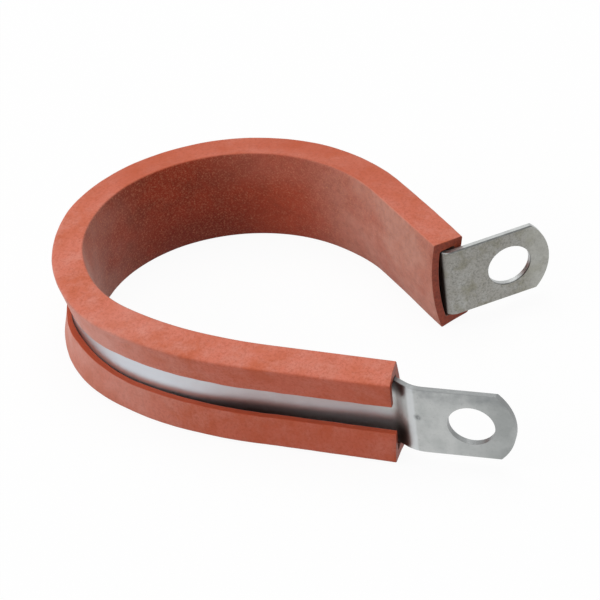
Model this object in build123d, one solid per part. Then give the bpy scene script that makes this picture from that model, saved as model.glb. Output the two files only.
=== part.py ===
from build123d import *
import os
from dataclasses import dataclass
from math import copysign, cos, radians, sin, sqrt

# Cushioned loop clamp for a pipe, open as it comes out of the bag. It has two pieces: a steel strap bent to
# a loop with a holed ear at each end, and a rubber channel that is pushed onto the loop and curls its two
# lips over the strap's edges. The strap springs open by its own bend, so nothing turns or slides.
#
# Millimetres. +Z runs along the pipe, so the clamp lies on the lower rim of its rubber. The origin is the
# centre of the front ear's hole on the face that is screwed down, and that face looks along -Y. +X runs
# along the front ear from the loop to its tip.

# Strap: half-inch strip with slit edges
STRAP_WIDTH = 12.7
STRAP_THICKNESS = 1.0
STRAP_EDGE_BREAK = 0.12

# Loop's line, from the front ear round to the back ear. The rubber's section stands on it, and so does the
# strap's pipe-side face at both ends of the loop.
FRONT_RUN = 22.5
EASE_RADIUS = 59.7
EASE_TURN = 21.7
TIGHT_RADIUS = 21.15
TIGHT_TURN = 109.3
OVER_RADIUS = 28.0
OVER_TURN = 89.9
BACK_RUN = 16.7

# The strap leaves the line: it starts a little outwards, and in the tight bend it pulls out to the lips
STRAP_DRIFT = 1.0
BEND_LIP_CLEARANCE = 0.15

# Front ear, and the small step that lifts it clear of the rubber
FRONT_HOLE_TO_STEP = 7.25
STEP_TURN = 30.0
STEP_OUT_RADIUS = 6.0
STEP_RAMP = 1.05
STEP_IN_RADIUS = 2.5
FRONT_EAR_LEAN = 2.8

# Back ear, folded outwards
BACK_EAR_TURN = 80.0
BACK_FOLD_RADIUS = 1.0
BACK_FOLD_TO_HOLE = 9.3

# Both ears
HOLE_DIAMETER = 7.4
HOLE_TO_TIP = 6.9
TIP_RADIUS = 8.8
TIP_CORNER_ROUND = 0.8

# Rubber channel: its section
EDGE_CLEARANCE = 0.25
FLOOR_CLEARANCE = 0.1
FLOOR_BOW = 0.65
WALL = 1.35
SIDE_WALL = 1.85
SIDE_TAPER = 0.68
LIP_STANDOFF = 1.3
LIP_ROOT_STANDOFF = 1.55
LIP_THICKNESS = 1.0
LIP_CREST = 0.75
LIP_GAP = 5.4
PIPE_SIDE_ROUND = 0.4
LIP_CORNER_BREAK = 0.2

# Rubber channel: its two cut ends
FRONT_END_OVERHANG = 0.95
FOLD_CLEARANCE = 0.1

INTO_THE_LOOP = 180.0


@dataclass(frozen=True)
class Run:
    """Straight stretch of the strap."""

    length: float


@dataclass(frozen=True)
class Bend:
    """Bent stretch: radius of the pipe-side face, and turn in degrees, positive to the left."""

    radius: float
    turn: float


def front_legs():
    """The strap from the front ear's tip to the end of its step."""
    return [
        Run(HOLE_TO_TIP + FRONT_HOLE_TO_STEP),
        Bend(STEP_OUT_RADIUS, -STEP_TURN),
        Run(STEP_RAMP),
        Bend(STEP_IN_RADIUS + STRAP_THICKNESS, STEP_TURN - FRONT_EAR_LEAN + STRAP_DRIFT),
    ]


def rubber_legs(before=0.0, after=0.0):
    """The loop's line, with its two straight ends made longer by what is asked."""
    return [
        Run(before + FRONT_RUN),
        Bend(EASE_RADIUS, -EASE_TURN),
        Bend(TIGHT_RADIUS, -TIGHT_TURN),
        Bend(OVER_RADIUS, -OVER_TURN),
        Run(BACK_RUN + after),
    ]


def back_legs():
    """The strap from its outward fold to the back ear's tip."""
    return [
        Bend(BACK_FOLD_RADIUS + STRAP_THICKNESS, BACK_EAR_TURN),
        Run(BACK_FOLD_TO_HOLE + HOLE_TO_TIP),
    ]


def ahead(heading):
    """Unit vector in plan along a heading in degrees."""
    return Vector(cos(radians(heading)), sin(radians(heading)))


def swing(point, pivot, turn):
    """A point turned about a pivot in plan."""
    return pivot + (point - pivot).rotate(Axis.Z, turn)


def follow(legs, point, heading):
    """Walks a route in plan. Returns its edges, its last point and its last heading."""
    edges = []
    for leg in legs:
        if isinstance(leg, Run):
            end = point + ahead(heading) * leg.length
            edges.append(Line(point, end))
        else:
            pivot = point + ahead(heading + 90) * copysign(leg.radius, leg.turn)
            end = swing(point, pivot, leg.turn)
            edges.append(ThreePointArc(point, swing(point, pivot, leg.turn / 2), end))
            heading = heading + leg.turn
        point = end
    return edges, point, heading


def run_and_bend(start, heading, end, turn):
    """A run and the bend after it that lead from one point to another and turn by a given angle."""
    way = end - start
    radius = abs(way.dot(ahead(heading + 90))) / (1 - cos(radians(turn)))
    length = way.dot(ahead(heading)) - radius * sin(radians(abs(turn)))
    return Run(length), Bend(radius, turn)


def loop_start():
    """Where the loop's line starts, at the end of the front ear's step, and its heading there."""
    _, point, heading = follow(front_legs(), front_tip(), INTO_THE_LOOP)
    return point, heading - STRAP_DRIFT


def strap_legs():
    """The strap from tip to tip. Its loop keeps the line's ends and follows the lips in the tight bend."""
    start, heading = loop_start()
    line = rubber_legs()
    outwards = LIP_STANDOFF - BEND_LIP_CLEARANCE
    _, before, before_heading = follow(line[:2], start, heading)
    _, behind, behind_heading = follow(line[2:3], before, before_heading)
    _, end, end_heading = follow(line[3:], behind, behind_heading)
    bend_start = before + ahead(before_heading + 90) * outwards
    bend_end = behind + ahead(behind_heading + 90) * outwards
    run_in, ease = run_and_bend(start, heading + STRAP_DRIFT, bend_start, -EASE_TURN - STRAP_DRIFT)
    run_out, over = run_and_bend(end, end_heading + 180, bend_end, OVER_TURN)
    tight = Bend(TIGHT_RADIUS + outwards, -TIGHT_TURN)
    loop = [run_in, ease, tight, Bend(over.radius, -over.turn), run_out]
    return front_legs() + loop + back_legs()


def draw_along(section, legs, point, heading):
    """Sweeps a section. Its x points outwards from the route, its y along the pipe."""
    route, _, _ = follow(legs, point, heading)
    across = Plane(origin=point, x_dir=ahead(heading + 90), z_dir=ahead(heading))
    return sweep(across * section, path=Wire(route))


def front_tip():
    """Where the strap's route starts: the front ear's tip on its pipe-side face."""
    return Vector(HOLE_TO_TIP, STRAP_THICKNESS)


def strap_blank():
    """The bent strip at full width, with square ends and its long edges broken."""
    strip = Rectangle(STRAP_THICKNESS, STRAP_WIDTH)
    strip = chamfer(strip.vertices(), STRAP_EDGE_BREAK)
    return draw_along(Pos(STRAP_THICKNESS / 2, 0) * strip, strap_legs(), front_tip(), INTO_THE_LOOP)


def front_ear_plane():
    """The front ear's screwed-down face: origin at its hole, x towards its tip."""
    return Plane(origin=(0, 0, 0), x_dir=(1, 0, 0), z_dir=(0, -1, 0))


def back_ear_plane():
    """The back ear's pipe-side face: origin at its hole, x towards its tip."""
    _, tip, heading = follow(strap_legs(), front_tip(), INTO_THE_LOOP)
    hole = tip - ahead(heading) * HOLE_TO_TIP
    return Plane(origin=hole, x_dir=ahead(heading), z_dir=ahead(heading - 90))


def ear_outline():
    """Sketch of an ear from its hole outwards: parallel sides and an arched tip with rounded corners."""
    half = STRAP_WIDTH / 2
    shoulder = HOLE_TO_TIP - TIP_RADIUS + sqrt(TIP_RADIUS**2 - half**2)
    sides = Polyline((shoulder, half), (0, half), (0, -half), (shoulder, -half))
    arch = ThreePointArc((shoulder, -half), (HOLE_TO_TIP, 0), (shoulder, half))
    outline = make_face([*sides.edges(), *arch.edges()])
    return fillet(outline.vertices().sort_by(Axis.X)[-2:], TIP_CORNER_ROUND)


def ear_waste():
    """What the press cuts from an ear: all that is outside its tip, and the hole."""
    reach = HOLE_TO_TIP + STRAP_THICKNESS
    strip_end = Pos(reach / 2, 0) * Rectangle(reach, STRAP_WIDTH + 2 * STRAP_THICKNESS)
    waste = strip_end - ear_outline() + Circle(HOLE_DIAMETER / 2)
    return extrude(waste, 2 * STRAP_THICKNESS, both=True)


def steel_strap():
    """The strap: bent strip, arched tips, one hole in each ear."""
    strap = strap_blank()
    for ear in (front_ear_plane(), back_ear_plane()):
        strap = strap - ear * ear_waste()
    return strap


def nearest_corners(sketch, corner):
    """A corner of the channel's section and its twin on the other side of the middle."""
    x, y = corner
    return [sketch.vertices().sort_by_distance((x, side * y, 0))[0] for side in (1, -1)]


def channel_section():
    """Section of the rubber: bowed wall on the pipe's side, two side walls, two lips over the strap."""
    groove = STRAP_WIDTH / 2 + EDGE_CLEARANCE
    floor = -FLOOR_CLEARANCE
    bow_radius = (groove**2 + FLOOR_BOW**2) / (2 * FLOOR_BOW)
    bow_centre = floor - FLOOR_BOW + bow_radius
    rim = groove + SIDE_WALL
    rim_x = bow_centre - sqrt((bow_radius + WALL) ** 2 - rim**2)
    lip_inside = STRAP_THICKNESS + LIP_STANDOFF
    lip_outside = lip_inside + LIP_THICKNESS

    pipe_edge = (rim_x, rim)
    crest = (lip_outside + LIP_CREST, rim - SIDE_TAPER)
    lip_top = (lip_outside, LIP_GAP / 2)
    lip_under = (lip_inside, LIP_GAP / 2)
    root = (STRAP_THICKNESS + LIP_ROOT_STANDOFF, groove)
    shoulder = (floor, groove)

    upper = [pipe_edge, crest, lip_top, lip_under, root, shoulder]
    lower = [(x, -y) for x, y in upper]
    back = ThreePointArc(lower[0], (bow_centre - bow_radius - WALL, 0), upper[0])
    bed = ThreePointArc(upper[-1], (floor - FLOOR_BOW, 0), lower[-1])
    sides = [*Polyline(*upper).edges(), *Polyline(*lower[::-1]).edges()]
    section = make_face([*back.edges(), *sides, *bed.edges()])

    section = fillet(nearest_corners(section, pipe_edge), PIPE_SIDE_ROUND)
    for corner in (crest, lip_top, lip_under):
        section = chamfer(nearest_corners(section, corner), LIP_CORNER_BREAK)
    return section


def rubber_cushion():
    """The rubber: one channel that follows the loop's line and stops short of the back ear's fold."""
    start, heading = loop_start()
    back_end_overhang = BACK_FOLD_RADIUS * sin(radians(BACK_EAR_TURN)) - FOLD_CLEARANCE
    legs = rubber_legs(before=FRONT_END_OVERHANG, after=back_end_overhang)
    return draw_along(channel_section(), legs, start - ahead(heading) * FRONT_END_OVERHANG, heading)


os.makedirs("parts", exist_ok=True)
export_step(steel_strap(), "parts/steel_strap.step")
export_step(rubber_cushion(), "parts/rubber_cushion.step")
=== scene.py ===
import logging
import math
from dataclasses import dataclass, field
from enum import Enum

import bpy
import numpy as np
from mathutils import Matrix, Vector


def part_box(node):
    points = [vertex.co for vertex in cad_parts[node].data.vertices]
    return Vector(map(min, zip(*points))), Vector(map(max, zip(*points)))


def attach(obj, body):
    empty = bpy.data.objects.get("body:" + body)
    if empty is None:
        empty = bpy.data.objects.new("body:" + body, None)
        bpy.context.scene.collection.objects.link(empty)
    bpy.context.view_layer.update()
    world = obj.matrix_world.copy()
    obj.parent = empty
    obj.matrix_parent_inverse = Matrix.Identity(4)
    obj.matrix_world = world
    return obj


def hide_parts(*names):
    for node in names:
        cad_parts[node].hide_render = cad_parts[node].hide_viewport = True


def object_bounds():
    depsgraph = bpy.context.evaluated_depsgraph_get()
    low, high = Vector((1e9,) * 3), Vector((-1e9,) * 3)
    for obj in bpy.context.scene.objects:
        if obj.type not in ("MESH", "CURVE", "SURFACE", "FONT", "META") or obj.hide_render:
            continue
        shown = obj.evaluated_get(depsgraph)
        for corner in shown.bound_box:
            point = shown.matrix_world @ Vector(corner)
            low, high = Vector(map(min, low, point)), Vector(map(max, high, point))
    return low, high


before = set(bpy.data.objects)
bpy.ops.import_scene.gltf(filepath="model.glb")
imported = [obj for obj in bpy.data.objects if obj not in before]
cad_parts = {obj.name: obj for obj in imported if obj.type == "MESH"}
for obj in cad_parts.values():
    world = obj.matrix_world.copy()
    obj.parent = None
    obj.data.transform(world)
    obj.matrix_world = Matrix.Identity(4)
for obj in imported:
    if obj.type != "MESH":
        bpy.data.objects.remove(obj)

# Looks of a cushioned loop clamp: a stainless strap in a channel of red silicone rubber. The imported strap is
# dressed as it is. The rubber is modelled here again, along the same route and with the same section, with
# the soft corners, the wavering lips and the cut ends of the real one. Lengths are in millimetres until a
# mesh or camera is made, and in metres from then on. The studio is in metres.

Tree = bpy.types.NodeTree
Socket = bpy.types.NodeSocket
Array = np.ndarray

MM = 0.001
CAD_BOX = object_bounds()
LOG = logging.getLogger("pipe_clamp")

# Sockets of Blender's Mix node when it mixes colours
FACTOR, FIRST, SECOND, MIXED = 0, 6, 7, 2

# The rubber's UV map: metres along the route, and metres round its section
UNROLLED = "unrolled"


def add_node(tree: Tree, kind: str, inputs: dict | None = None, **settings) -> bpy.types.Node:
    """Adds a shader node, sets its properties, and fills or links its inputs.

    Args:
        tree: The node tree that takes the node.
        kind: The node's type without its ShaderNode prefix.
        inputs: Input name or number to a value, or to the output socket that is linked to it.
        settings: Properties of the node.

    Returns:
        The new node.
    """
    node = tree.nodes.new("ShaderNode" + kind)
    for name, value in settings.items():
        setattr(node, name, value)
    for key, value in (inputs or {}).items():
        if isinstance(value, Socket):
            tree.links.new(value, node.inputs[key])
        else:
            node.inputs[key].default_value = value
    return node


def linear(hex_code: str) -> tuple[float, float, float, float]:
    """Turns an sRGB hex colour into the linear colour that a shader takes.

    Args:
        hex_code: Six hex digits after a hash.

    Returns:
        Red, green, blue and alpha.
    """
    shares = [int(hex_code[i:i + 2], 16) / 255 for i in (1, 3, 5)]
    red, green, blue = (c / 12.92 if c <= 0.04045 else ((c + 0.055) / 1.055) ** 2.4 for c in shares)
    return red, green, blue, 1.0


def new_material(name: str) -> tuple[bpy.types.Material, Tree, bpy.types.Node, Socket]:
    """Makes a material with a plain shader.

    Args:
        name: The material's name.

    Returns:
        The material, its node tree, its shader, and the object's coordinates in metres.
    """
    made = bpy.data.materials.new(name)
    made.use_nodes = True
    tree = made.node_tree
    return made, tree, tree.nodes["Principled BSDF"], add_node(tree, "TexCoord").outputs["Object"]


def per_metre(size: float) -> float:
    """Scale of a pattern, on coordinates in metres, whose features are that many millimetres across."""
    return 1 / (size * MM)


def ramp(value: Array, start: float, end: float) -> Array:
    """A straight change from 0 at the start to 1 at the end, which may be the lower of the two."""
    return np.clip((value - start) / (end - start), 0, 1)


@dataclass(frozen=True)
class Waver:
    """A slow uneven wave along the rubber, as an extruded edge has, in millimetres.

    Each finer wave is `finer` times as short and `weaker` times as high as the one before.
    """

    height: float
    longest: float
    waves: int = 4
    first: float = 0.5
    finer: float = 2.3
    weaker: float = 0.62

    def share(self, along: Array, seed: int) -> Array:
        """How far the edge departs from its line.

        Args:
            along: Places along the route.
            seed: Which wave it is.

        Returns:
            A column with the departure at each place.
        """
        dice = np.random.default_rng(seed)
        total = np.zeros_like(along)
        for wave in range(self.waves):
            length = self.longest / self.finer**wave
            total += self.first * self.weaker**wave * np.sin(2 * math.pi * (along / length + dice.random()))
        return (self.height * total)[:, None]


@dataclass(frozen=True)
class Run:
    """A straight stretch of the clamp."""

    length: float

    def step(self, heading: float, along: Array) -> tuple[Array, Array]:
        """Where the stretch goes.

        Args:
            heading: Heading at its start, in radians.
            along: Places along it, in millimetres.

        Returns:
            Offsets in plan from its start, and the headings there.
        """
        way = np.array([math.cos(heading), math.sin(heading)])
        return along[:, None] * way, np.full_like(along, heading)


@dataclass(frozen=True)
class Bend:
    """A bent stretch: radius of the line, and turn in degrees, positive to the left."""

    radius: float
    turn: float

    @property
    def length(self) -> float:
        """Length along the line."""
        return self.radius * math.radians(abs(self.turn))

    def step(self, heading: float, along: Array) -> tuple[Array, Array]:
        """Where the stretch goes.

        Args:
            heading: Heading at its start, in radians.
            along: Places along it, in millimetres.

        Returns:
            Offsets in plan from its start, and the headings there.
        """
        side = math.copysign(1.0, self.turn)
        headings = heading + side * along / self.radius
        left = np.stack([-np.sin(headings), np.cos(headings)], axis=1)
        start = np.array([-math.sin(heading), math.cos(heading)])
        return side * self.radius * (start - left), headings


@dataclass(frozen=True)
class Places:
    """Places along a route: how far along, the point in plan and the heading in radians."""

    along: Array
    point: Array
    heading: Array

    @property
    def outwards(self) -> Array:
        """Unit vectors in plan to the left of the route, which is away from the pipe."""
        return np.stack([-np.sin(self.heading), np.cos(self.heading)], axis=1)

    @property
    def ahead(self) -> Array:
        """Unit vectors in plan along the route."""
        return np.stack([np.cos(self.heading), np.sin(self.heading)], axis=1)


@dataclass(frozen=True)
class Ear:
    """An ear of the strap in plan: its hole on the pipe-side face, in millimetres, and its heading."""

    hole: tuple[float, float]
    heading: float


@dataclass(frozen=True)
class ClampRoute:
    """The clamp in plan: the front ear with its step, the loop's line and the back ear."""

    hole_to_tip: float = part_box("steel_strap")[1].x / MM
    thickness: float = 1.0
    drift: float = 1.0
    front_ear: tuple = (Run(7.25), Bend(6.0, -30.0), Run(1.05), Bend(3.5, 28.2))
    loop: tuple = (Run(22.5), Bend(59.7, -21.7), Bend(21.15, -109.3), Bend(28.0, -89.9), Run(16.7))
    back_ear: tuple = (Bend(2.0, 80.0), Run(9.3))

    def walk(self, legs: tuple, spacing: float, start: tuple, heading: float) -> Places:
        """Follows stretches of the clamp.

        Args:
            legs: The stretches.
            spacing: The widest distance between two places, in millimetres.
            start: Where they start, in plan.
            heading: Heading at the start, in radians.

        Returns:
            Evenly spaced places on each stretch, its joints included once.
        """
        point, along = np.array(start, float), 0.0
        places, points, headings = [0.0], [point], [heading]
        for leg in legs:
            count = max(1, math.ceil(leg.length / spacing))
            steps = np.linspace(0, leg.length, count + 1)[1:]
            offsets, turned = leg.step(headings[-1], steps)
            places.extend(along + steps)
            points.extend(point + offsets)
            headings.extend(turned)
            point, along = points[-1], along + leg.length
        return Places(np.array(places), np.array(points), np.array(headings))

    def under_rubber(self, before: float, after: float, spacing: float) -> Places:
        """The line that the rubber follows.

        Args:
            before: How far the rubber reaches past the loop's start, towards the front ear.
            after: How far it reaches past the loop's end.
            spacing: The widest distance between two places.

        Returns:
            The places, all lengths in millimetres.
        """
        legs = (Run(self.hole_to_tip), *self.front_ear)
        ear = self.walk(legs, spacing, (self.hole_to_tip, self.thickness), math.pi)
        heading = ear.heading[-1] - math.radians(self.drift)
        start = ear.point[-1] - before * np.array([math.cos(heading), math.sin(heading)])
        first, *middle, last = self.loop
        legs = (Run(before + first.length), *middle, Run(last.length + after))
        return self.walk(legs, spacing, tuple(start), heading)

    def ears(self) -> tuple[Ear, Ear]:
        """The front and the back ear."""
        line = self.under_rubber(0.0, 0.0, self.thickness)
        back = self.walk(self.back_ear, self.thickness, tuple(line.point[-1]), line.heading[-1])
        return Ear((0.0, 0.0), 0.0), Ear(tuple(back.point[-1]), back.heading[-1])


@dataclass(frozen=True)
class Corner:
    """A corner of the rubber's section, and the radius that softens it."""

    x: float
    y: float
    round: float

    def soften(self, before: Array, after: Array, count: int) -> Array:
        """Points on the arc that softens the corner.

        Args:
            before: Unit vector from the corner back along the outline.
            after: Unit vector from the corner on along the outline.
            count: How many points.

        Returns:
            The points in order.
        """
        middle = before + after
        middle /= np.linalg.norm(middle)
        half = math.acos(float(np.clip(before @ middle, -1, 1)))
        centre = np.array([self.x, self.y]) + middle * self.round / math.sin(half)
        reach = self.round / math.tan(half)
        first = np.array([self.x, self.y]) + before * reach - centre
        last = np.array([self.x, self.y]) + after * reach - centre
        turn = math.atan2(first[0] * last[1] - first[1] * last[0], float(first @ last))
        angles = np.linspace(0, turn, count)
        across = np.array([-first[1], first[0]])
        return centre + np.cos(angles)[:, None] * first + np.sin(angles)[:, None] * across


class Zone(Enum):
    """The part of the rubber's surface that a point lies on. Its value names the mesh attribute."""

    FREE_EDGE = "free_edge"
    LIP_FACE = "lip_face"
    GROOVE = "groove"
    PIPE_WALL = "pipe_wall"


@dataclass(frozen=True)
class ChannelSection:
    """Section of the rubber channel: x stands on the strap's pipe-side face, y runs along the pipe."""

    strap_width: float = (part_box("steel_strap")[1].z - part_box("steel_strap")[0].z) / MM
    strap_thickness: float = 1.0
    edge_clearance: float = 0.25
    floor_clearance: float = 0.1
    floor_bow: float = 0.65
    wall: float = 1.35
    side_wall: float = 1.85
    side_taper: float = 0.68
    lip_standoff: float = 1.3
    lip_root_standoff: float = 1.55
    lip_thickness: float = 1.0
    lip_crest: float = 0.75
    lip_gap: float = 5.4
    pipe_side_round: float = 0.25
    crest_round: float = 0.38
    lip_round: float = 0.13
    root_round: float = 0.3
    corner_points: int = 5
    lip_steps: int = 14
    side_steps: int = 14
    wall_steps: int = 44

    @property
    def groove(self) -> float:
        """Half the width inside the channel."""
        return self.strap_width / 2 + self.edge_clearance

    @property
    def rim(self) -> float:
        """Half the width of the channel."""
        return self.groove + self.side_wall

    def bowed(self, y: Array, depth: float) -> Array:
        """Where the bowed wall lies.

        Args:
            y: Places along the pipe.
            depth: How deep in the wall, from its groove side.

        Returns:
            The x of the wall there.
        """
        radius = (self.groove**2 + self.floor_bow**2) / (2 * self.floor_bow)
        centre = radius - self.floor_clearance - self.floor_bow
        return centre - np.sqrt((radius + depth) ** 2 - np.square(y))

    def outside(self) -> tuple[Corner, Corner, Corner]:
        """The upper half's corners on the outside: lip, crest and pipe edge."""
        out = self.strap_thickness + self.lip_standoff + self.lip_thickness
        lip = Corner(out, self.lip_gap / 2, self.lip_round)
        crest = Corner(out + self.lip_crest, self.rim - self.side_taper, self.crest_round)
        return lip, crest, Corner(float(self.bowed(self.rim, self.wall)), self.rim, self.pipe_side_round)

    def inside(self) -> tuple[Corner, Corner, Corner]:
        """The upper half's corners in the groove: under the lip, at its root and at the floor."""
        under = Corner(self.strap_thickness + self.lip_standoff, self.lip_gap / 2, self.lip_round)
        root = Corner(self.strap_thickness + self.lip_root_standoff, self.groove, self.root_round)
        return under, root, Corner(-self.floor_clearance, self.groove, self.root_round)

    def half(self, corners: tuple, start: Array, depth: float) -> Array:
        """Upper half of one side's outline, from the lip to the middle of the wall.

        Args:
            corners: Its three corners, from the lip.
            start: The point that the outline comes from, before the first corner.
            depth: Depth in the wall of its bowed stretch.

        Returns:
            Its points, the last one on the middle.
        """
        step = 1e-3
        last = corners[-1]
        bow_way = np.array([float(self.bowed(last.y - step, depth)) - last.x, -step])
        stops = [start, *(np.array([c.x, c.y]) for c in corners), np.array([last.x, last.y]) + bow_way]
        parts = []
        for index, corner in enumerate(corners):
            here, before, after = stops[index + 1], stops[index], stops[index + 2]
            back = (before - here) / np.linalg.norm(before - here)
            on = (after - here) / np.linalg.norm(after - here)
            arc = corner.soften(back, on, self.corner_points)
            if parts:
                steps = self.lip_steps if index == 1 else self.side_steps
                shares = np.linspace(0, 1, steps + 1)[1:-1, None]
                parts.append(parts[-1][-1] * (1 - shares) + arc[0] * shares)
            parts.append(arc)
        heights = np.linspace(parts[-1][-1][1], 0, self.wall_steps // 2 + 1)[1:]
        parts.append(np.stack([self.bowed(heights, depth), heights], axis=1))
        return np.concatenate(parts)

    def outline(self) -> tuple[Array, Array]:
        """The whole section.

        Returns:
            Its outer and its groove-side outline, each from the upper lip round to the lower lip, with as
            many points in one as in the other.
        """
        outer, inner = self.outside(), self.inside()
        halves = (
            self.half(outer, np.array([inner[0].x, inner[0].y]), self.wall),
            self.half(inner, np.array([outer[0].x, outer[0].y]), 0.0),
        )
        return tuple(np.concatenate([h, h[-2::-1] * [1, -1]]) for h in halves)

    def zones(self) -> dict[Zone, Array]:
        """Spreads the zones over the section. What lies in none of them is a rim or a lip's outer face.

        Returns:
            By zone, the share of each point of the two outlines, one after the other, from 0 to 1.
        """
        corner, middle = self.corner_points, self.wall_steps // 2
        rise = np.linspace(0, 1, corner)
        before_wall = corner + self.lip_steps - 1 + corner + self.side_steps - 1
        rest = before_wall + middle
        edge = [1 - rise, np.zeros(rest)]
        wall = [np.zeros(before_wall), rise, np.ones(middle)]
        face = [rise, np.ones(self.lip_steps - 1), 1 - rise, np.zeros(rest - self.lip_steps + 1 - corner)]
        shares = {
            Zone.FREE_EDGE: (edge, edge),
            Zone.LIP_FACE: (face, [np.zeros(corner + rest)]),
            Zone.GROOVE: ([np.zeros(corner + rest)], [rise, np.ones(rest)]),
            Zone.PIPE_WALL: (wall, [np.zeros(corner + rest)]),
        }
        halves = {zone: [np.concatenate(pieces) for pieces in sides] for zone, sides in shares.items()}
        return {zone: np.concatenate([np.concatenate([half, half[-2::-1]]) for half in sides])
                for zone, sides in halves.items()}


@dataclass(frozen=True)
class Blotches:
    """An uneven pattern, its size in millimetres: noise that is bare below one value, full above another."""

    size: float
    bare: float = 0.4
    full: float = 0.6
    most: float = 1.0
    detail: float = 4.0
    roughness: float = 0.6
    stretch: tuple[float, float, float] = (1.0, 1.0, 1.0)
    shift: float = 0.0

    def share(self, tree: Tree, place: Socket) -> Socket:
        """Adds the pattern's nodes.

        Args:
            tree: The material's node tree.
            place: The coordinates that the pattern lies on, in metres.

        Returns:
            How strongly the pattern shows, from 0 to `most`.
        """
        scale = tuple(per_metre(self.size * longer) for longer in self.stretch)
        spread = add_node(tree, "Mapping", {"Vector": place, "Location": (self.shift,) * 3, "Scale": scale})
        noise = add_node(tree, "TexNoise", {"Vector": spread.outputs["Vector"], "Scale": 1.0,
                                            "Detail": self.detail, "Roughness": self.roughness})
        return add_node(tree, "MapRange", {"Value": noise.outputs["Fac"], "From Min": self.bare,
                                           "From Max": self.full, "To Max": self.most}).outputs["Result"]


class By(Enum):
    """What a layer goes by: distances in metres, and in the last three rows shares from 0 to 1."""

    ALONG = "along the route, from the rubber's front end"
    HEIGHT = "along the pipe, from the strap's middle line"
    # The level that the painted shade at the front ear's step leaves clear
    SHADE_CLEAR_LEVEL = "from the level that grime leaves clear"
    DENT = "from the dent by the front ear's step"
    FRONT_TIP = "from the front ear's hole towards its tip"
    FRONT_FACE = "from the front ear's outer face towards the back of the loop"
    BACK_TIP = "from the back ear's hole towards its tip"
    BACK_FACE = "from the back ear's face on the pipe's side"
    TO_TIP = "from either ear's hole towards its tip"
    FROM_FACE = "from either ear's face at its hole"
    FROM_AXIS = "from the hole's axis"
    FROM_MIDDLE = "from the hole's middle"
    LIP_FACE = "on a lip's outer face"
    RIM = "off the lips' outer faces"
    SHEARED = "on a sheared face of the strap"


@dataclass(frozen=True)
class Fade:
    """A smooth change over a distance in millimetres: nothing at its start, all of it at its end."""

    by: By
    start: float
    end: float

    def share(self, tree: Tree, measures: dict[By, Socket]) -> Socket:
        """Adds the nodes that turn a distance in metres into a share from 0 to 1.

        Args:
            tree: The material's node tree.
            measures: The distances.

        Returns:
            The share.
        """
        return add_node(tree, "MapRange", {"Value": measures[self.by], "From Min": self.start * MM,
                                           "From Max": self.end * MM},
                        interpolation_type="SMOOTHSTEP").outputs["Result"]


# The back ear, from its fold on, and the front half of the clamp
ON_BACK_EAR = Fade(By.BACK_TIP, -13.5, -10.5)
IN_FRONT = Fade(By.FRONT_FACE, 14.0, 10.0)


@dataclass(frozen=True)
class Layer:
    """A colour that lies over the one below wherever its pattern shows.

    Every fade thins it. Its ground is the face that it keeps to, its drift a broader pattern that thins it.
    """

    colour: str
    pattern: Blotches
    fades: tuple[Fade, ...] = ()
    ground: By | None = None
    drift: Blotches | None = None

    def over(self, tree: Tree, below: Socket | tuple, place: Socket,
             measures: dict[By, Socket]) -> Socket:
        """Adds the layer's nodes.

        Args:
            tree: The material's node tree.
            below: The colour under the layer.
            place: The coordinates that the patterns lie on, in metres.
            measures: The distances and shares that layers go by.

        Returns:
            The colour with the layer on it.
        """
        share = self.pattern.share(tree, place)
        thinned = [fade.share(tree, measures) for fade in self.fades]
        if self.ground:
            thinned.append(measures[self.ground])
        if self.drift:
            thinned.append(self.drift.share(tree, place))
        for other in thinned:
            share = add_node(tree, "Math", {0: share, 1: other}, operation="MULTIPLY").outputs["Value"]
        return add_node(tree, "Mix", {FACTOR: share, FIRST: below, SECOND: linear(self.colour)},
                        data_type="RGBA").outputs[MIXED]


def coat(tree: Tree, base: str, layers: tuple[Layer, ...], place: Socket,
         measures: dict[By, Socket] | None = None) -> Socket:
    """Lays layers over a plain colour.

    Args:
        tree: The material's node tree.
        base: The plain colour.
        layers: The layers, from the lowest.
        place: The coordinates that the patterns lie on, in metres.
        measures: The distances and shares that the layers go by.

    Returns:
        The colour with all layers on it.
    """
    colour = linear(base)
    for layer in layers:
        colour = layer.over(tree, colour, place, measures or {})
    return colour


@dataclass(frozen=True)
class Relief:
    """Fine lines of a tool and fine pores, their depth in millimetres. The surface is duller at its pores."""

    lines: Blotches
    depth: float
    strength: float
    pores: Blotches | None = None
    roughness: tuple[float, float] = (0.5, 0.5)

    def press(self, tree: Tree, shader: bpy.types.Node, place: Socket,
              grain: Socket) -> None:
        """Gives a shader its relief and its roughness.

        Args:
            tree: The material's node tree.
            shader: The shader.
            place: The coordinates that the pores lie on, in metres.
            grain: The coordinates that the lines lie on.
        """
        height = self.lines.share(tree, grain)
        shader.inputs["Roughness"].default_value = self.roughness[0]
        if self.pores:
            pores = self.pores.share(tree, place)
            height = add_node(tree, "Math", {0: height, 1: pores}, operation="ADD").outputs["Value"]
            gloss = add_node(tree, "MapRange", {"Value": pores, "To Min": self.roughness[0],
                                                "To Max": self.roughness[1]})
            tree.links.new(gloss.outputs["Result"], shader.inputs["Roughness"])
        bump = add_node(tree, "Bump", {"Height": height, "Strength": self.strength,
                                       "Distance": self.depth * MM})
        tree.links.new(bump.outputs["Normal"], shader.inputs["Normal"])


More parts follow.
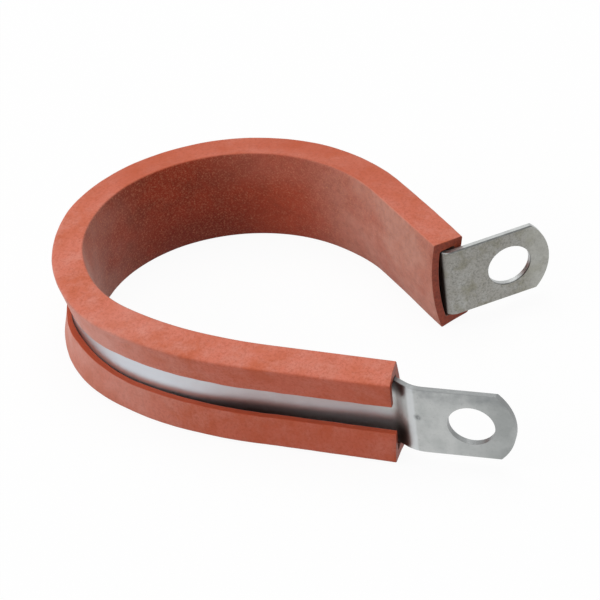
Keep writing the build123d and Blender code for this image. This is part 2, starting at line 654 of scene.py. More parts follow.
@dataclass(frozen=True)
class SiliconeFinish:
    """Red silicone rubber, extruded and cured: matt and waxy.

    The eye sees a brick red that is ruddier in some places and pinker in others, with a fine grain. Lines of
    the extruder's die run along it. Round the tight bend, where it is stretched, its rim and lips are paler
    with painted sheen, and the lips in front are a deeper red with painted shade. Dust gives it a grey-pink
    haze where it is seen at a slant, and its groove side is painted in shade. The wall on the pipe's side is a
    deeper red with pale grains of talc, darker low down behind the bend with painted shade, and greyer in the
    bend and warmer, then paler towards the back ear with painted light and sheen.
    """

    name: str = "red_silicone_rubber"
    skin: str = "#D57760"
    skin_layers: tuple[Layer, ...] = (
        # Ruddier and pinker places, and the ruddier back of the loop
        Layer("#C96748", Blotches(6.0, 0.44, 0.64, detail=6.0, roughness=0.65)),
        Layer("#D98D7C", Blotches(4.0, 0.46, 0.72, 0.8, detail=6.0, roughness=0.7, shift=7.0)),
        Layer("#BC502C", Blotches(9.0, 0.1, 0.6, 0.75, shift=15.0),
              (Fade(By.ALONG, 68.0, 90.0), Fade(By.ALONG, 154.0, 116.0))),
        # Fine grain
        Layer("#AE4E33", Blotches(0.5, 0.46, 0.74, 0.62, detail=3.0, roughness=0.8)),
        # Rim and lips paler round the bend, where the rubber is stretched: painted sheen of the rubber seen at
        # a slant there
        Layer("#F0B9AE", Blotches(5.0, 0.1, 0.6, 0.125, detail=5.0, shift=27.0),
              (Fade(By.ALONG, 29.0, 47.0), Fade(By.ALONG, 53.0, 43.0)), By.RIM),
        Layer("#F0B9AE", Blotches(5.0, 0.1, 0.6, 0.39, detail=5.0, shift=27.0),
              (Fade(By.ALONG, 29.0, 47.0), Fade(By.HEIGHT, -13.0, -1.0)), By.LIP_FACE),
        # Lips of the front run, a deeper red: painted shade, as they show less sheen than the slanted lips in
        # the bend
        Layer("#CC4E2B", Blotches(6.0, -0.1, 0.5, 0.38, detail=5.0, shift=33.0),
              (Fade(By.ALONG, 46.0, 14.0),), By.LIP_FACE),
    )
    free_edge: str = "#C2502E"
    # The groove side: painted shade, a dull grey-brown in the recess
    groove: str = "#8C665C"
    wall: str = "#A63A1E"
    wall_layers: tuple[Layer, ...] = (
        Layer("#8C321A", Blotches(7.0, 0.42, 0.62, detail=5.0, shift=3.0)),
        # Warmer, then paler towards the back ear, and greyer in the bend: painted light and sheen where the
        # wall is seen at a slant and faces the lamps. Greyer high up as well
        Layer("#C24E30", Blotches(9.0, 0.0, 0.5, 0.8, shift=23.0), (Fade(By.ALONG, 94.0, 112.0),)),
        Layer("#D79886", Blotches(9.0, 0.2, 0.6, detail=5.0, shift=11.0), (Fade(By.ALONG, 110.0, 132.0),)),
        Layer("#B98375", Blotches(7.0, 0.2, 0.6, 0.8, detail=5.0, shift=19.0), (Fade(By.ALONG, 88.0, 68.0),)),
        Layer("#C28E80", Blotches(7.0, 0.0, 0.5, 0.24, shift=57.0),
              (Fade(By.HEIGHT, 0.5, 6.0), Fade(By.ALONG, 92.0, 108.0))),
        # Deep red low down, between the bend and the back run: painted shade inside the loop
        Layer("#842408", Blotches(8.0, 0.0, 0.5, 0.8, shift=29.0),
              (Fade(By.HEIGHT, 1.5, -5.0), Fade(By.ALONG, 78.0, 90.0), Fade(By.ALONG, 109.0, 99.0))),
        # Mottle, and talc, which is finer than a hair: its grains are as coarse as it takes to show them
        Layer("#7A2410", Blotches(1.3, 0.44, 0.68, 0.26, detail=6.0, roughness=0.7, shift=55.0)),
        Layer("#E29A76", Blotches(0.32, 0.48, 0.72, 0.52, detail=2.0, roughness=0.9),
              drift=Blotches(8.0, -0.1, 0.5, detail=3.0, shift=5.0)),
    )
    relief: Relief = Relief(Blotches(0.45, 0.0, 1.0, detail=3.0, stretch=(26.0, 1.0, 1.0)), depth=0.03,
                            strength=0.35, pores=Blotches(0.3, 0.0, 1.0), roughness=(0.5, 0.74))
    ior: float = 1.41
    specular: float = 0.3
    haze: float = 0.25
    haze_roughness: float = 0.45
    haze_colour: str = "#F2D8D0"

    def material(self) -> bpy.types.Material:
        """Makes the material of the rubber's extruded skin.

        Returns:
            The material.
        """
        made, tree, shader, place = new_material(self.name)
        unrolled = add_node(tree, "UVMap", uv_map=UNROLLED).outputs["UV"]
        zones = {zone: add_node(tree, "Attribute", attribute_name=zone.value).outputs["Fac"] for zone in Zone}
        off_lips = add_node(tree, "Math", {0: 1.0, 1: zones[Zone.LIP_FACE]}, operation="SUBTRACT")
        measures = {
            By.ALONG: add_node(tree, "SeparateXYZ", {"Vector": unrolled}).outputs["X"],
            By.HEIGHT: add_node(tree, "SeparateXYZ", {"Vector": place}).outputs["Z"],
            By.LIP_FACE: zones[Zone.LIP_FACE],
            By.RIM: off_lips.outputs["Value"],
        }
        colour = coat(tree, self.skin, self.skin_layers, place, measures)
        wall = coat(tree, self.wall, self.wall_layers, place, measures)
        insides = {Zone.FREE_EDGE: linear(self.free_edge), Zone.GROOVE: linear(self.groove),
                   Zone.PIPE_WALL: wall}
        for zone, inside in insides.items():
            colour = add_node(tree, "Mix", {FACTOR: zones[zone], FIRST: colour, SECOND: inside},
                              data_type="RGBA").outputs[MIXED]
        tree.links.new(colour, shader.inputs["Base Color"])
        self.relief.press(tree, shader, place, unrolled)
        shader.inputs["IOR"].default_value = self.ior
        shader.inputs["Specular IOR Level"].default_value = self.specular
        shader.inputs["Sheen Weight"].default_value = self.haze
        shader.inputs["Sheen Roughness"].default_value = self.haze_roughness
        shader.inputs["Sheen Tint"].default_value = linear(self.haze_colour)
        return made


@dataclass(frozen=True)
class CutFinish:
    """The rubber's cut ends: the same silicone, sliced with a blade, so smoother and without dust, and darker
    with painted shade.
    """

    name: str = "cut_silicone_rubber"
    # Painted shade: the cut ends are coloured darker than the skin
    shaded_cut: str = "#A84527"
    deep: Layer = Layer("#843015", Blotches(0.5, 0.4, 0.65, detail=6.0))
    relief: Relief = Relief(Blotches(0.3, 0.0, 1.0, stretch=(1.0, 1.0, 8.0)), depth=0.04, strength=0.3)
    ior: float = 1.41

    def material(self) -> bpy.types.Material:
        """Makes the material of a cut end.

        Returns:
            The material.
        """
        made, tree, shader, place = new_material(self.name)
        tree.links.new(coat(tree, self.shaded_cut, (self.deep,), place), shader.inputs["Base Color"])
        self.relief.press(tree, shader, place, place)
        shader.inputs["IOR"].default_value = self.ior
        return made


@dataclass(frozen=True)
class MillFinish:
    """Stainless strip as it comes from the rolls, slit to width, punched and bent.

    The eye sees a cool grey satin with dull clouds, fine dark specks and faint streaks along the strip. The
    sheared faces are darker. In the groove it wears a pink-grey film, red dust with a painted reflection of
    the rubber, and painted light brightens the bend and lifts the shade low in the groove in front. Painted
    reflection darkens the front ear's tip and upper edge, its step has a painted highlight and painted shade,
    the back ear's fold has a painted reflection of the dark groove, and the back ear is dull all over.
    """

    name: str = "stainless_strip"
    bright: str = "#BDBFBE"
    layers: tuple[Layer, ...] = (
        Layer("#ADB0AF", Blotches(2.8, 0.4, 0.7, detail=4.0, roughness=0.55)),
        # Pink-grey film in the groove: red dust with a painted reflection of the red rubber. Then painted
        # light that brightens the bend
        Layer("#AF9FA0", Blotches(3.0, 0.0, 0.5, 0.8, shift=31.0), (Fade(By.FRONT_TIP, -12.0, -18.0),)),
        Layer("#D6DEE6", Blotches(8.0, 0.0, 0.4, 0.7, shift=17.0),
              (Fade(By.FRONT_TIP, -30.0, -54.0), Fade(By.FRONT_TIP, -66.5, -57.0))),
        # Darker tip of the front ear, and a darker band along the strap's upper edge: painted reflection, with
        # smudges
        Layer("#999C9B", Blotches(5.0, 0.1, 0.5, shift=9.0), (Fade(By.FRONT_TIP, -3.0, 6.0),)),
        Layer("#7E8183", Blotches(2.4, 0.3, 0.66, 0.66, detail=4.0, shift=37.0),
              (Fade(By.HEIGHT, 3.2, 5.6),)),
        # Back ear: dull all over, with olive smears of the press's oil and a dark grain, and paler at its tip
        Layer("#97958F", Blotches(2.6, -0.1, 0.5, 0.95, detail=5.0, roughness=0.6, shift=4.0),
              (ON_BACK_EAR,)),
        Layer("#7C7966", Blotches(3.4, 0.5, 0.68, 0.75, detail=4.0, shift=21.0), (ON_BACK_EAR,)),
        Layer("#4C4B46", Blotches(0.42, 0.45, 0.76, 0.68, detail=3.0, roughness=0.85, shift=6.0),
              (ON_BACK_EAR,)),
        Layer("#B4B5AF", Blotches(3.0, 0.1, 0.6, 0.62, detail=4.0, shift=49.0),
              (Fade(By.BACK_TIP, 1.0, 5.5),)),
        # Dark specks on the ears
        Layer("#5F605C", Blotches(0.45, 0.56, 0.78, 0.38, detail=3.0, roughness=0.8, shift=2.0),
              (Fade(By.FRONT_TIP, -18.0, -12.0),)),
        # Lower side of the groove in front, on either side of one place: painted light that lifts the shade
        # there
        *(Layer("#DDEBF2", Blotches(3.0, -0.4, 0.4, 0.85, shift=53.0),
                (Fade(By.HEIGHT, 0.6, -2.4), Fade(By.FRONT_TIP, -38.0, end), Fade(By.FRONT_TIP, -11.4, -13.0),
                 IN_FRONT)) for end in (-19.0, -52.0)),
        # Front ear's step: a painted highlight along its bend, then painted shade above and below, where it
        # looks into the dark groove
        Layer("#D6DADC", Blotches(2.0, -0.4, 0.4, 0.6, shift=43.0),
              (Fade(By.FRONT_TIP, -8.4, -8.9), Fade(By.FRONT_TIP, -10.1, -9.6), IN_FRONT)),
        Layer("#4A3C38", Blotches(2.0, -0.4, 0.4, 0.66, shift=41.0),
              (Fade(By.FRONT_TIP, -9.8, -10.6), Fade(By.FRONT_TIP, -12.9, -11.4),
               Fade(By.SHADE_CLEAR_LEVEL, 2.2, 4.4), IN_FRONT)),
        Layer("#5C5E60", Blotches(0.5, 0.2, 0.6, 0.7, shift=45.0), (Fade(By.DENT, 0.85, 0.2),)),
        # Back ear's fold: painted reflection of the dark end of the groove
        Layer("#6B6A66", Blotches(2.0, -0.4, 0.4, 0.8, shift=47.0),
              (Fade(By.BACK_TIP, -10.4, -11.2), Fade(By.BACK_TIP, -15.0, -13.0))),
        # Sheared faces. The back ear's are brighter, with a band of fracture next to the pipe's side
        Layer("#868888", Blotches(1.5, -0.5, 0.6, detail=3.0, shift=13.0), ground=By.SHEARED),
        Layer("#B4B6B5", Blotches(1.5, -0.5, 0.6, detail=3.0, shift=13.0), (ON_BACK_EAR,), By.SHEARED),
        Layer("#434443", Blotches(0.8, -0.3, 0.5, 0.9, detail=4.0, shift=51.0),
              (ON_BACK_EAR, Fade(By.BACK_FACE, 0.32, 0.16)), By.SHEARED),
    )
    # Height that the painted shade at the front ear's step leaves clear, in millimetres
    shade_clear_level: float = 0.8
    dent: tuple[float, float, float] = (-8.3, 0.1, 0.7)
    past_hole: Fade = Fade(By.TO_TIP, 3.7, 3.9)
    hole_wall: Fade = Fade(By.FROM_AXIS, 3.73, 3.71)
    near_hole: Fade = Fade(By.FROM_MIDDLE, 5.0, 4.5)
    edge_turn: tuple[float, float] = (0.4, 0.8)
    relief: Relief = Relief(Blotches(0.25, 0.0, 1.0, detail=3.0, stretch=(36.0, 36.0, 1.0)), depth=0.012,
                            strength=0.25, pores=Blotches(0.35, 0.0, 1.0, detail=5.0, roughness=0.7),
                            roughness=(0.28, 0.42))

    def on_ear(self, tree: Tree, ear: Ear) -> dict[By, Socket]:
        """Adds the distances that place a point on an ear.

        Args:
            tree: The material's node tree.
            ear: The ear.

        Returns:
            The distances in metres.
        """
        place = add_node(tree, "TexCoord").outputs["Object"]
        hole = (ear.hole[0] * MM, ear.hole[1] * MM, 0.0)
        turned = add_node(tree, "Mapping", {"Vector": place, "Location": hole,
                                            "Rotation": (0, 0, ear.heading)}, vector_type="TEXTURE")
        local = turned.outputs["Vector"]
        level = add_node(tree, "VectorMath", {0: local, 1: (1, 0, 1)}, operation="MULTIPLY").outputs["Vector"]
        axes = add_node(tree, "SeparateXYZ", {"Vector": local}).outputs
        return {By.TO_TIP: axes["X"],
                By.FROM_FACE: axes["Y"],
                By.FROM_AXIS: add_node(tree, "VectorMath", {0: level}, operation="LENGTH").outputs["Value"],
                By.FROM_MIDDLE: add_node(tree, "VectorMath", {0: local}, operation="LENGTH").outputs["Value"]}

    def sheared_faces(self, tree: Tree, ears: tuple) -> Socket:
        """Tells the slit edges, the tips and the holes' walls from the rolled faces.

        Args:
            tree: The material's node tree.
            ears: Each ear with its distances.

        Returns:
            1 on a sheared face and 0 on a rolled one.
        """
        normal = add_node(tree, "TexCoord").outputs["Normal"]
        across = add_node(tree, "SeparateXYZ", {"Vector": normal}).outputs["Z"]
        found = add_node(tree, "Math", {0: across}, operation="ABSOLUTE").outputs["Value"]
        for ear, measures in ears:
            way = (math.cos(ear.heading), math.sin(ear.heading), 0)
            endways = add_node(tree, "VectorMath", {0: normal, 1: way}, operation="DOT_PRODUCT")
            tip = (endways.outputs["Value"], self.past_hole.share(tree, measures))
            wall = (self.hole_wall.share(tree, measures), self.near_hole.share(tree, measures))
            for first, second in (tip, wall):
                mask = add_node(tree, "Math", {0: first, 1: second}, operation="MULTIPLY").outputs["Value"]
                found = add_node(tree, "Math", {0: found, 1: mask}, operation="MAXIMUM").outputs["Value"]
        low, high = self.edge_turn
        share = add_node(tree, "MapRange", {"Value": found, "From Min": low, "From Max": high})
        return share.outputs["Result"]

    def material(self, front: Ear, back: Ear) -> bpy.types.Material:
        """Makes the strap's material.

        Args:
            front: The front ear.
            back: The back ear.

        Returns:
            The material.
        """
        made, tree, shader, place = new_material(self.name)
        on_front, on_back = self.on_ear(tree, front), self.on_ear(tree, back)
        height = add_node(tree, "SeparateXYZ", {"Vector": place}).outputs["Z"]
        above = add_node(tree, "Math", {0: height, 1: self.shade_clear_level * MM}, operation="SUBTRACT")
        aside = add_node(tree, "Math", {0: above.outputs["Value"]}, operation="ABSOLUTE")
        away = add_node(tree, "VectorMath", {0: place, 1: Vector(self.dent) * MM}, operation="DISTANCE")
        measures = {
            By.HEIGHT: height,
            By.SHADE_CLEAR_LEVEL: aside.outputs["Value"],
            By.DENT: away.outputs["Value"],
            By.FRONT_TIP: on_front[By.TO_TIP],
            By.FRONT_FACE: on_front[By.FROM_FACE],
            By.BACK_TIP: on_back[By.TO_TIP],
            By.BACK_FACE: on_back[By.FROM_FACE],
            By.SHEARED: self.sheared_faces(tree, ((front, on_front), (back, on_back))),
        }
        tree.links.new(coat(tree, self.bright, self.layers, place, measures), shader.inputs["Base Color"])
        self.relief.press(tree, shader, place, place)
        shader.inputs["Metallic"].default_value = 1.0
        return made


@dataclass(frozen=True)
class Stretch:
    """A stretch of the route in millimetres, with a smooth rise after its start and a fall before its end."""

    start: float
    end: float
    fade: float = 10.0

    def share(self, along: Array) -> Array:
        """A column with 0 for each place outside and 1 for each place well inside."""
        rise = ramp(along, self.start, self.start + self.fade) * ramp(along, self.end, self.end - self.fade)
        return (rise * rise * (3 - 2 * rise))[:, None]


@dataclass(frozen=True)
class Region:
    """A part of the rubber's section with soft borders: from nothing to all of it along x and along y."""

    x: tuple[float, float]
    y: tuple[float, float]

    def share(self, x: Array, y: Array) -> Array:
        """How far each point is in the region, from 0 to 1."""
        return ramp(x, *self.x) * ramp(y, *self.y)


@dataclass(frozen=True)
class Swell:
    """A stretch where one side of the rubber stands a little out of its section, in millimetres.

    `side` is 1 for the upper half and -1 for the lower. `crest` says how far its crest stands outwards and
    away from the middle, `wall` how far its edge on the pipe's side stands inwards.
    """

    side: int
    stretch: Stretch
    crest: tuple[float, float] = (0.0, 0.0)
    wall: float = 0.0


@dataclass
class RubberCushion:
    """The rubber channel that lines the loop. It is built in millimetres."""

    name: str = "silicone_channel"
    section: ChannelSection = field(default_factory=ChannelSection)
    route: ClampRoute = field(default_factory=ClampRoute)
    front_overhang: float = 0.95
    back_overhang: float = 0.885
    spacing: float = 0.55
    sharp_angle: float = 38.0
    finishes: tuple = (SiliconeFinish(), CutFinish())

    # Cut ends: their broken edge, and how far lips and upper crest lead at the front end
    cut_edge: float = 0.07
    lip_leads: tuple[float, float] = (0.0, 0.3)
    crest_lead: float = 0.35
    lead_reach: float = 7.0
    leading_lips: Region = Region((1.0, 3.3), (9.1, 2.1))
    leading_crest: Region = Region((1.0, 4.0), (2.5, 7.5))

    # Slow waves of the extruded edges, and where on the section they are
    lip_rise: Waver = Waver(0.07, 23.0)
    lip_stand: Waver = Waver(0.07, 17.0)
    lip_tips: Region = Region((1.5, 2.5), (6.5, 2.5))
    crest_stand: Waver = Waver(0.05, 31.0)
    crests: Region = Region((1.0, 4.0), (5.0, 7.5))

    # Tight bend: the stretched upper lip thins, the lower one seats on the strap, rises and tucks in behind
    lip_core: float = 0.2
    thinned: Stretch = Stretch(48.0, 76.0, 9.0)
    upper_lip_thins: float = 0.55
    crest_pulls_in: float = 0.15
    strained: Stretch = Stretch(46.0, 86.0, 9.0)
    lower_lip_seats: float = 0.12
    seat_reach: float = 0.5
    lower_lip_rises: float = 0.15
    lifted: Stretch = Stretch(43.0, 69.0, 12.5)
    lower_lip_lifts: float = 0.95
    edge_band: float = 2.5
    lip_starts: tuple[float, float] = (1.8, 2.2)
    tucked: Stretch = Stretch(56.0, 80.0, 8.0)
    lower_lip_tucks: float = 0.4

    # Stretches where crests and pipe-side edges stand out, and where on the section they do
    swells: tuple[Swell, ...] = (
        Swell(1, Stretch(-20.0, 170.0), (0.08, 0.0)),
        Swell(-1, Stretch(-20.0, 170.0), (0.08, 0.12)),
        Swell(-1, Stretch(28.0, 50.0), (0.0, 0.2)),
        Swell(-1, Stretch(-20.0, 16.0), (0.0, 0.1)),
        Swell(1, Stretch(58.0, 84.0), (0.14, 0.0)),
        Swell(1, Stretch(108.0, 154.0), (0.12, 0.0)),
        Swell(1, Stretch(126.0, 170.0), (0.12, 0.0)),
        Swell(1, Stretch(20.0, 68.0), wall=0.25),
        Swell(-1, Stretch(60.0, 92.0), wall=0.22),
        Swell(-1, Stretch(64.0, 130.0), wall=0.16),
        Swell(-1, Stretch(122.0, 146.0), wall=-0.18),
    )
    swelling_crest: Region = Region((1.0, 4.0), (4.0, 7.5))
    swelling_wall: Region = Region((0.5, -1.0), (2.0, 7.0))

    def rings(self) -> tuple[Array, Array, Places]:
        """Rings of points along the route.

        Returns:
            The points by station and by outline point, each outline point's distance round the section, and
            the places of the stations.
        """
        places = self.route.under_rubber(self.front_overhang, self.back_overhang, self.spacing)
        outer, inner = self.section.outline()
        count = len(outer)
        section = np.concatenate([outer, inner])
        middle = (outer + inner) / 2
        inset = np.concatenate([middle - outer, middle - inner])
        inset /= np.linalg.norm(inset, axis=1)[:, None]
        along = places.along
        total = along[-1]
        edge = np.array([0.0, *np.clip(along[1:-1], self.cut_edge, total - self.cut_edge), total])
        edge[1], edge[-2] = self.cut_edge, total - self.cut_edge
        points = np.repeat(section[None], len(along), axis=0)
        for end in (0, -1):
            points[end] += inset * self.cut_edge
        x, y = points[..., 0], points[..., 1]
        for change in (self.waver_edges, self.strain_in_bend, self.stand_out):
            change(x, y, along)
        shift = (edge - along)[:, None, None] + self.cut_lead(section, along)[..., None]
        plan = places.point[:, None] + places.outwards[:, None] * points[..., :1]
        plan = plan + places.ahead[:, None] * shift
        solid = np.concatenate([plan, points[..., 1:]], axis=2)
        walked = np.concatenate([outer, inner[::-1], outer[:1]])
        steps = np.linalg.norm(np.diff(walked, axis=0), axis=1)
        around = np.concatenate([[0.0], np.cumsum(steps)])
        ring = np.concatenate([np.arange(count), np.arange(2 * count - 1, count - 1, -1)])
        return solid[:, ring], around, places

    def waver_edges(self, x: Array, y: Array, along: Array) -> None:
        """Lets the lips' free edges and the crests waver, in place.

        Args:
            x: Outward places by station and by outline point.
            y: Places along the pipe.
            along: Places along the route.
        """
        tip, crest = self.lip_tips.share(x, np.abs(y)), self.crests.share(x, np.abs(y))
        for seed, side in ((3, 1), (4, -1)):
            mine = np.sign(y) == side
            y += mine * tip * self.lip_rise.share(along, seed)
            x += mine * tip * self.lip_stand.share(along, seed + 10)
            x += mine * crest * self.crest_stand.share(along, seed + 2)

    def strain_in_bend(self, x: Array, y: Array, along: Array) -> None:
        """Strains the rubber in the tight bend, where the strap stretches it most, in place.

        Args:
            x: Outward places by station and by outline point.
            y: Places along the pipe.
            along: Places along the route.
        """
        section = self.section
        free_edge, inside = section.lip_gap / 2, section.strap_thickness + section.lip_standoff
        face = (inside + self.lip_core, inside + section.lip_thickness)
        near_edge = ramp(-y, free_edge + self.edge_band, free_edge) * (y < 0) * ramp(x, *self.lip_starts)
        under = near_edge * ramp(np.abs(x - inside), self.seat_reach, 0)
        upper = ramp(x, *face) * ramp(y, 0, free_edge)
        slope = ramp(y, section.rim, free_edge)
        thins = self.crest_pulls_in + (self.upper_lip_thins - self.crest_pulls_in) * slope
        x -= self.thinned.share(along) * upper * thins
        x -= self.strained.share(along) * under * self.lower_lip_seats
        lower = ramp(x, *face) * ramp(-y, 0, free_edge) * ramp(-y, section.rim, free_edge)
        x -= self.tucked.share(along) * lower * self.lower_lip_tucks
        rises = self.strained.share(along) * self.lower_lip_rises
        y += near_edge * (rises + self.lifted.share(along) * self.lower_lip_lifts)

    def stand_out(self, x: Array, y: Array, along: Array) -> None:
        """Lets crests and pipe-side edges stand out of the section where the swells say, in place.

        Args:
            x: Outward places by station and by outline point.
            y: Places along the pipe.
            along: Places along the route.
        """
        for swell in self.swells:
            share = swell.stretch.share(along)
            crest = share * self.swelling_crest.share(x, swell.side * y)
            wall = share * self.swelling_wall.share(x, swell.side * y)
            x += crest * swell.crest[0] - wall * swell.wall
            y += crest * swell.crest[1] * swell.side

    def cut_lead(self, section: Array, along: Array) -> Array:
        """How far the lips reach past a square cut at the front end.

        Args:
            section: The outline points.
            along: Places along the route.

        Returns:
            The shift along the route by station and by outline point.
        """
        x, y = section[:, 0], section[:, 1]
        lips = self.leading_lips.share(x, np.abs(y)) * np.where(y > 0, *self.lip_leads)
        lead = lips + self.leading_crest.share(x, y) * self.crest_lead
        return -(ramp(along, self.lead_reach, 0) ** 2)[:, None] * lead[None]

    def mesh(self) -> bpy.types.Mesh:
        """Builds the channel's mesh, with its unrolled UVs in metres and its zones as attributes.

        Returns:
            The mesh, whose first material covers the skin and whose second covers the cut ends.
        """
        points, around, places = self.rings()
        stations, ring = points.shape[:2]
        row, column = np.meshgrid(np.arange(stations - 1), np.arange(ring), indexing="ij")
        following = (column + 1) % ring
        corners = (row * ring + column, row * ring + following, (row + 1) * ring + following,
                   (row + 1) * ring + column)
        skin = np.stack(corners, axis=-1).reshape(-1, 4)
        rung = np.arange(ring // 2 - 1)
        front = np.stack([rung, ring - 1 - rung, ring - 2 - rung, rung + 1], axis=-1)
        back = front[:, ::-1] + (stations - 1) * ring
        made = bpy.data.meshes.new(self.name)
        faces = np.concatenate([skin, front, back])
        made.from_pydata((points.reshape(-1, 3) * MM).tolist(), [], faces.tolist())
        made.update()

        along, around = places.along * MM, around * MM
        u = np.stack([along[row], along[row], along[row + 1], along[row + 1]], axis=-1)
        v = np.stack([around[column], around[column + 1], around[column + 1], around[column]], axis=-1)
        ends = points[0, np.concatenate([front, back]) % ring, 1:] * MM
        unrolled = np.concatenate([np.stack([u, v], axis=-1).reshape(-1, 2), ends.reshape(-1, 2)])
        made.uv_layers.new(name=UNROLLED).data.foreach_set("uv", unrolled.astype(np.float32).ravel())

        order = np.concatenate([np.arange(ring // 2), np.arange(ring - 1, ring // 2 - 1, -1)])
        for zone, share in self.section.zones().items():
            layer = made.attributes.new(zone.value, "FLOAT", "POINT")
            layer.data.foreach_set("value", np.tile(share[order], stations).astype(np.float32))
        slots = np.concatenate([np.zeros(len(skin)), np.ones(len(front) + len(back))]).astype(np.int32)
        made.polygons.foreach_set("material_index", slots)
        made.shade_smooth()
        made.set_sharp_from_angle(angle=math.radians(self.sharp_angle))
        return made

    def build(self) -> bpy.types.Object:
        """Makes the channel, dresses it and puts it in the place of its plain solid.

        Returns:
            The channel.
        """
        piece = bpy.data.objects.new(self.name, self.mesh())
        bpy.context.scene.collection.objects.link(piece)
        for finish in self.finishes:
            piece.data.materials.append(finish.material())
        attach(piece, "root")
        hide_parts("rubber_cushion")
        return piece


@dataclass
class SteelStrap:
    """The bent strap with its two ears."""

    node: str = "steel_strap"
    finish: MillFinish = field(default_factory=MillFinish)
    route: ClampRoute = field(default_factory=ClampRoute)

    def build(self) -> bpy.types.Object:
        """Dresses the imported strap, which keeps its place and its shape.

        Returns:
            The strap.
        """
        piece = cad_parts[self.node]
        finish = self.finish.material(*self.route.ears())
        piece.data.materials.clear()
        piece.data.materials.append(finish)
        return piece


@dataclass
class Softbox:
    """A flat square lamp that looks at the clamp. Its place and its side are in metres."""

    name: str
    place: tuple[float, float, float]
    side: float
    watts: float

    def build(self, target: Vector) -> bpy.types.Object:
        """Makes the lamp.

        Args:
            target: The point that it looks at, in metres.

        Returns:
            The lamp.
        """
        data = bpy.data.lights.new(self.name, "AREA")
        data.shape = "SQUARE"
        data.size = self.side
        data.energy = self.watts
        lamp = bpy.data.objects.new(self.name, data)
        lamp.location = Vector(self.place)
        lamp.rotation_mode = "QUATERNION"
        lamp.rotation_quaternion = (target - lamp.location).to_track_quat("-Z", "Y")
        bpy.context.scene.collection.objects.link(lamp)
        return lamp


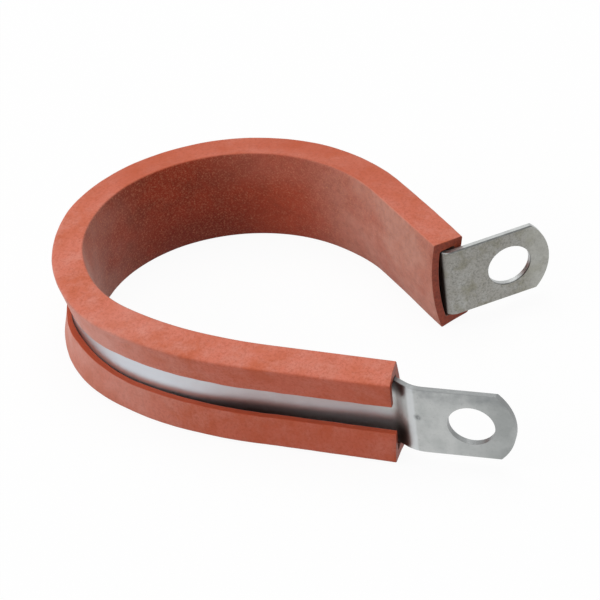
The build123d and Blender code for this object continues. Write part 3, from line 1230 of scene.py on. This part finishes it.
@dataclass
class Studio:
    """A plain white sheet on the table, a soft white surround and soft lamps. Lengths are in metres.

    Rays that show the backdrop see it white, and rays that light the clamp see a duller one.
    """

    floor_side: float = 6.0
    paper: str = "#CFCFCF"
    white: float = 1.04
    glow_share: float = 0.9
    fill: float = 0.38
    lamps: tuple = (
        Softbox("overhead", (-0.1, 0.25, 1.1), 1.0, 7.0),
        Softbox("left", (-1.35, -0.5, 0.65), 0.8, 7.0),
    )

    def seen(self, tree: Tree) -> Socket:
        """Adds the nodes that tell rays that show the backdrop from rays that light the clamp.

        Args:
            tree: The node tree of the floor or the surround.

        Returns:
            A socket that is 1 for a ray from the camera, a gloss or a glass, and 0 for the others.
        """
        path = add_node(tree, "LightPath")
        bright = add_node(tree, "Math", {0: path.outputs["Is Camera Ray"], 1: path.outputs["Is Glossy Ray"]},
                          operation="MAXIMUM")
        return add_node(tree, "Math", {0: bright.outputs["Value"], 1: path.outputs["Is Transmission Ray"]},
                        operation="MAXIMUM").outputs["Value"]

    def floor(self, height: float) -> bpy.types.Object:
        """Lays the sheet that the clamp lies on.

        Args:
            height: Its height, in metres.

        Returns:
            The sheet, which isn't part of the clamp.
        """
        half = self.floor_side / 2
        made = bpy.data.meshes.new("paper_sheet")
        made.from_pydata([(-half, -half, height), (half, -half, height), (half, half, height),
                          (-half, half, height)], [], [(0, 1, 2, 3)])
        paper = bpy.data.materials.new("white_paper")
        paper.use_nodes = True
        tree = paper.node_tree
        tree.nodes.clear()
        matt = add_node(tree, "BsdfDiffuse", {"Color": linear(self.paper)})
        glow = add_node(tree, "Emission", {"Color": (1, 1, 1, 1), "Strength": self.white})
        share = add_node(tree, "Math", {0: self.seen(tree), 1: self.glow_share}, operation="MULTIPLY")
        lit = add_node(tree, "MixShader", {0: share.outputs["Value"], 1: matt.outputs["BSDF"],
                                           2: glow.outputs["Emission"]})
        add_node(tree, "OutputMaterial", {"Surface": lit.outputs["Shader"]})
        made.materials.append(paper)
        sheet = bpy.data.objects.new("paper_sheet", made)
        bpy.context.scene.collection.objects.link(sheet)
        return sheet

    def surround(self) -> None:
        """Makes the world: white where it is seen, and a soft even fill where it lights."""
        world = bpy.data.worlds.new("soft_surround")
        world.use_nodes = True
        bpy.context.scene.world = world
        tree = world.node_tree
        level = add_node(tree, "MapRange", {"Value": self.seen(tree), "To Min": self.fill, "To Max": 1.0})
        tree.links.new(level.outputs["Result"], tree.nodes["Background"].inputs["Strength"])
        tree.nodes["Background"].inputs["Color"].default_value = (1, 1, 1, 1)

    def build(self, low: Vector, high: Vector) -> None:
        """Builds floor, surround and lamps round the clamp.

        Args:
            low: Lowest corner of the clamp, in metres.
            high: Highest corner of the clamp, in metres.
        """
        self.floor(low.z)
        self.surround()
        for lamp in self.lamps:
            lamp.build((low + high) / 2)


@dataclass(frozen=True)
class PhotoCamera:
    """The camera where the photograph was taken, with angles in degrees and lengths in millimetres."""

    azimuth: float = 19.27
    elevation: float = 40.04
    roll: float = -7.58
    distance: float = 534.5
    lens: float = 202.67
    target: tuple[float, float, float] = (-33.15, 25.06, 0.0)
    clip: tuple[float, float] = (50.0, 20000.0)

    def build(self) -> bpy.types.Object:
        """Makes the camera and hands it to the scene.

        Returns:
            The camera.
        """
        turn, rise, roll = (math.radians(a) for a in (self.azimuth, self.elevation, self.roll))
        level = Vector((math.cos(turn), math.sin(turn), 0))
        back = Vector((math.sin(turn) * math.cos(rise), -math.cos(turn) * math.cos(rise), math.sin(rise)))
        upright = back.cross(level)
        right = math.cos(roll) * level + math.sin(roll) * upright
        up = math.cos(roll) * upright - math.sin(roll) * level
        data = bpy.data.cameras.new("photo_camera")
        data.lens = self.lens
        data.clip_start, data.clip_end = (end * MM for end in self.clip)
        camera = bpy.data.objects.new("photo_camera", data)
        axes = Matrix((right, up, back)).transposed().to_4x4()
        camera.matrix_world = Matrix.Translation(Vector(self.target) * MM + back * self.distance * MM) @ axes
        bpy.context.scene.collection.objects.link(camera)
        bpy.context.scene.camera = camera
        return camera


def main() -> None:
    """Builds the clamp's pieces in order, then the studio and the camera."""
    logging.basicConfig(level=logging.INFO, format="%(name)s: %(message)s")
    bpy.context.scene.view_settings.view_transform = "Standard"
    for part in (SteelStrap(), RubberCushion()):
        piece = part.build()
        LOG.info("%s: %d faces", piece.name, len(piece.data.polygons))
    Studio().build(*CAD_BOX)
    PhotoCamera().build()


if __name__ == "__main__":
    main()
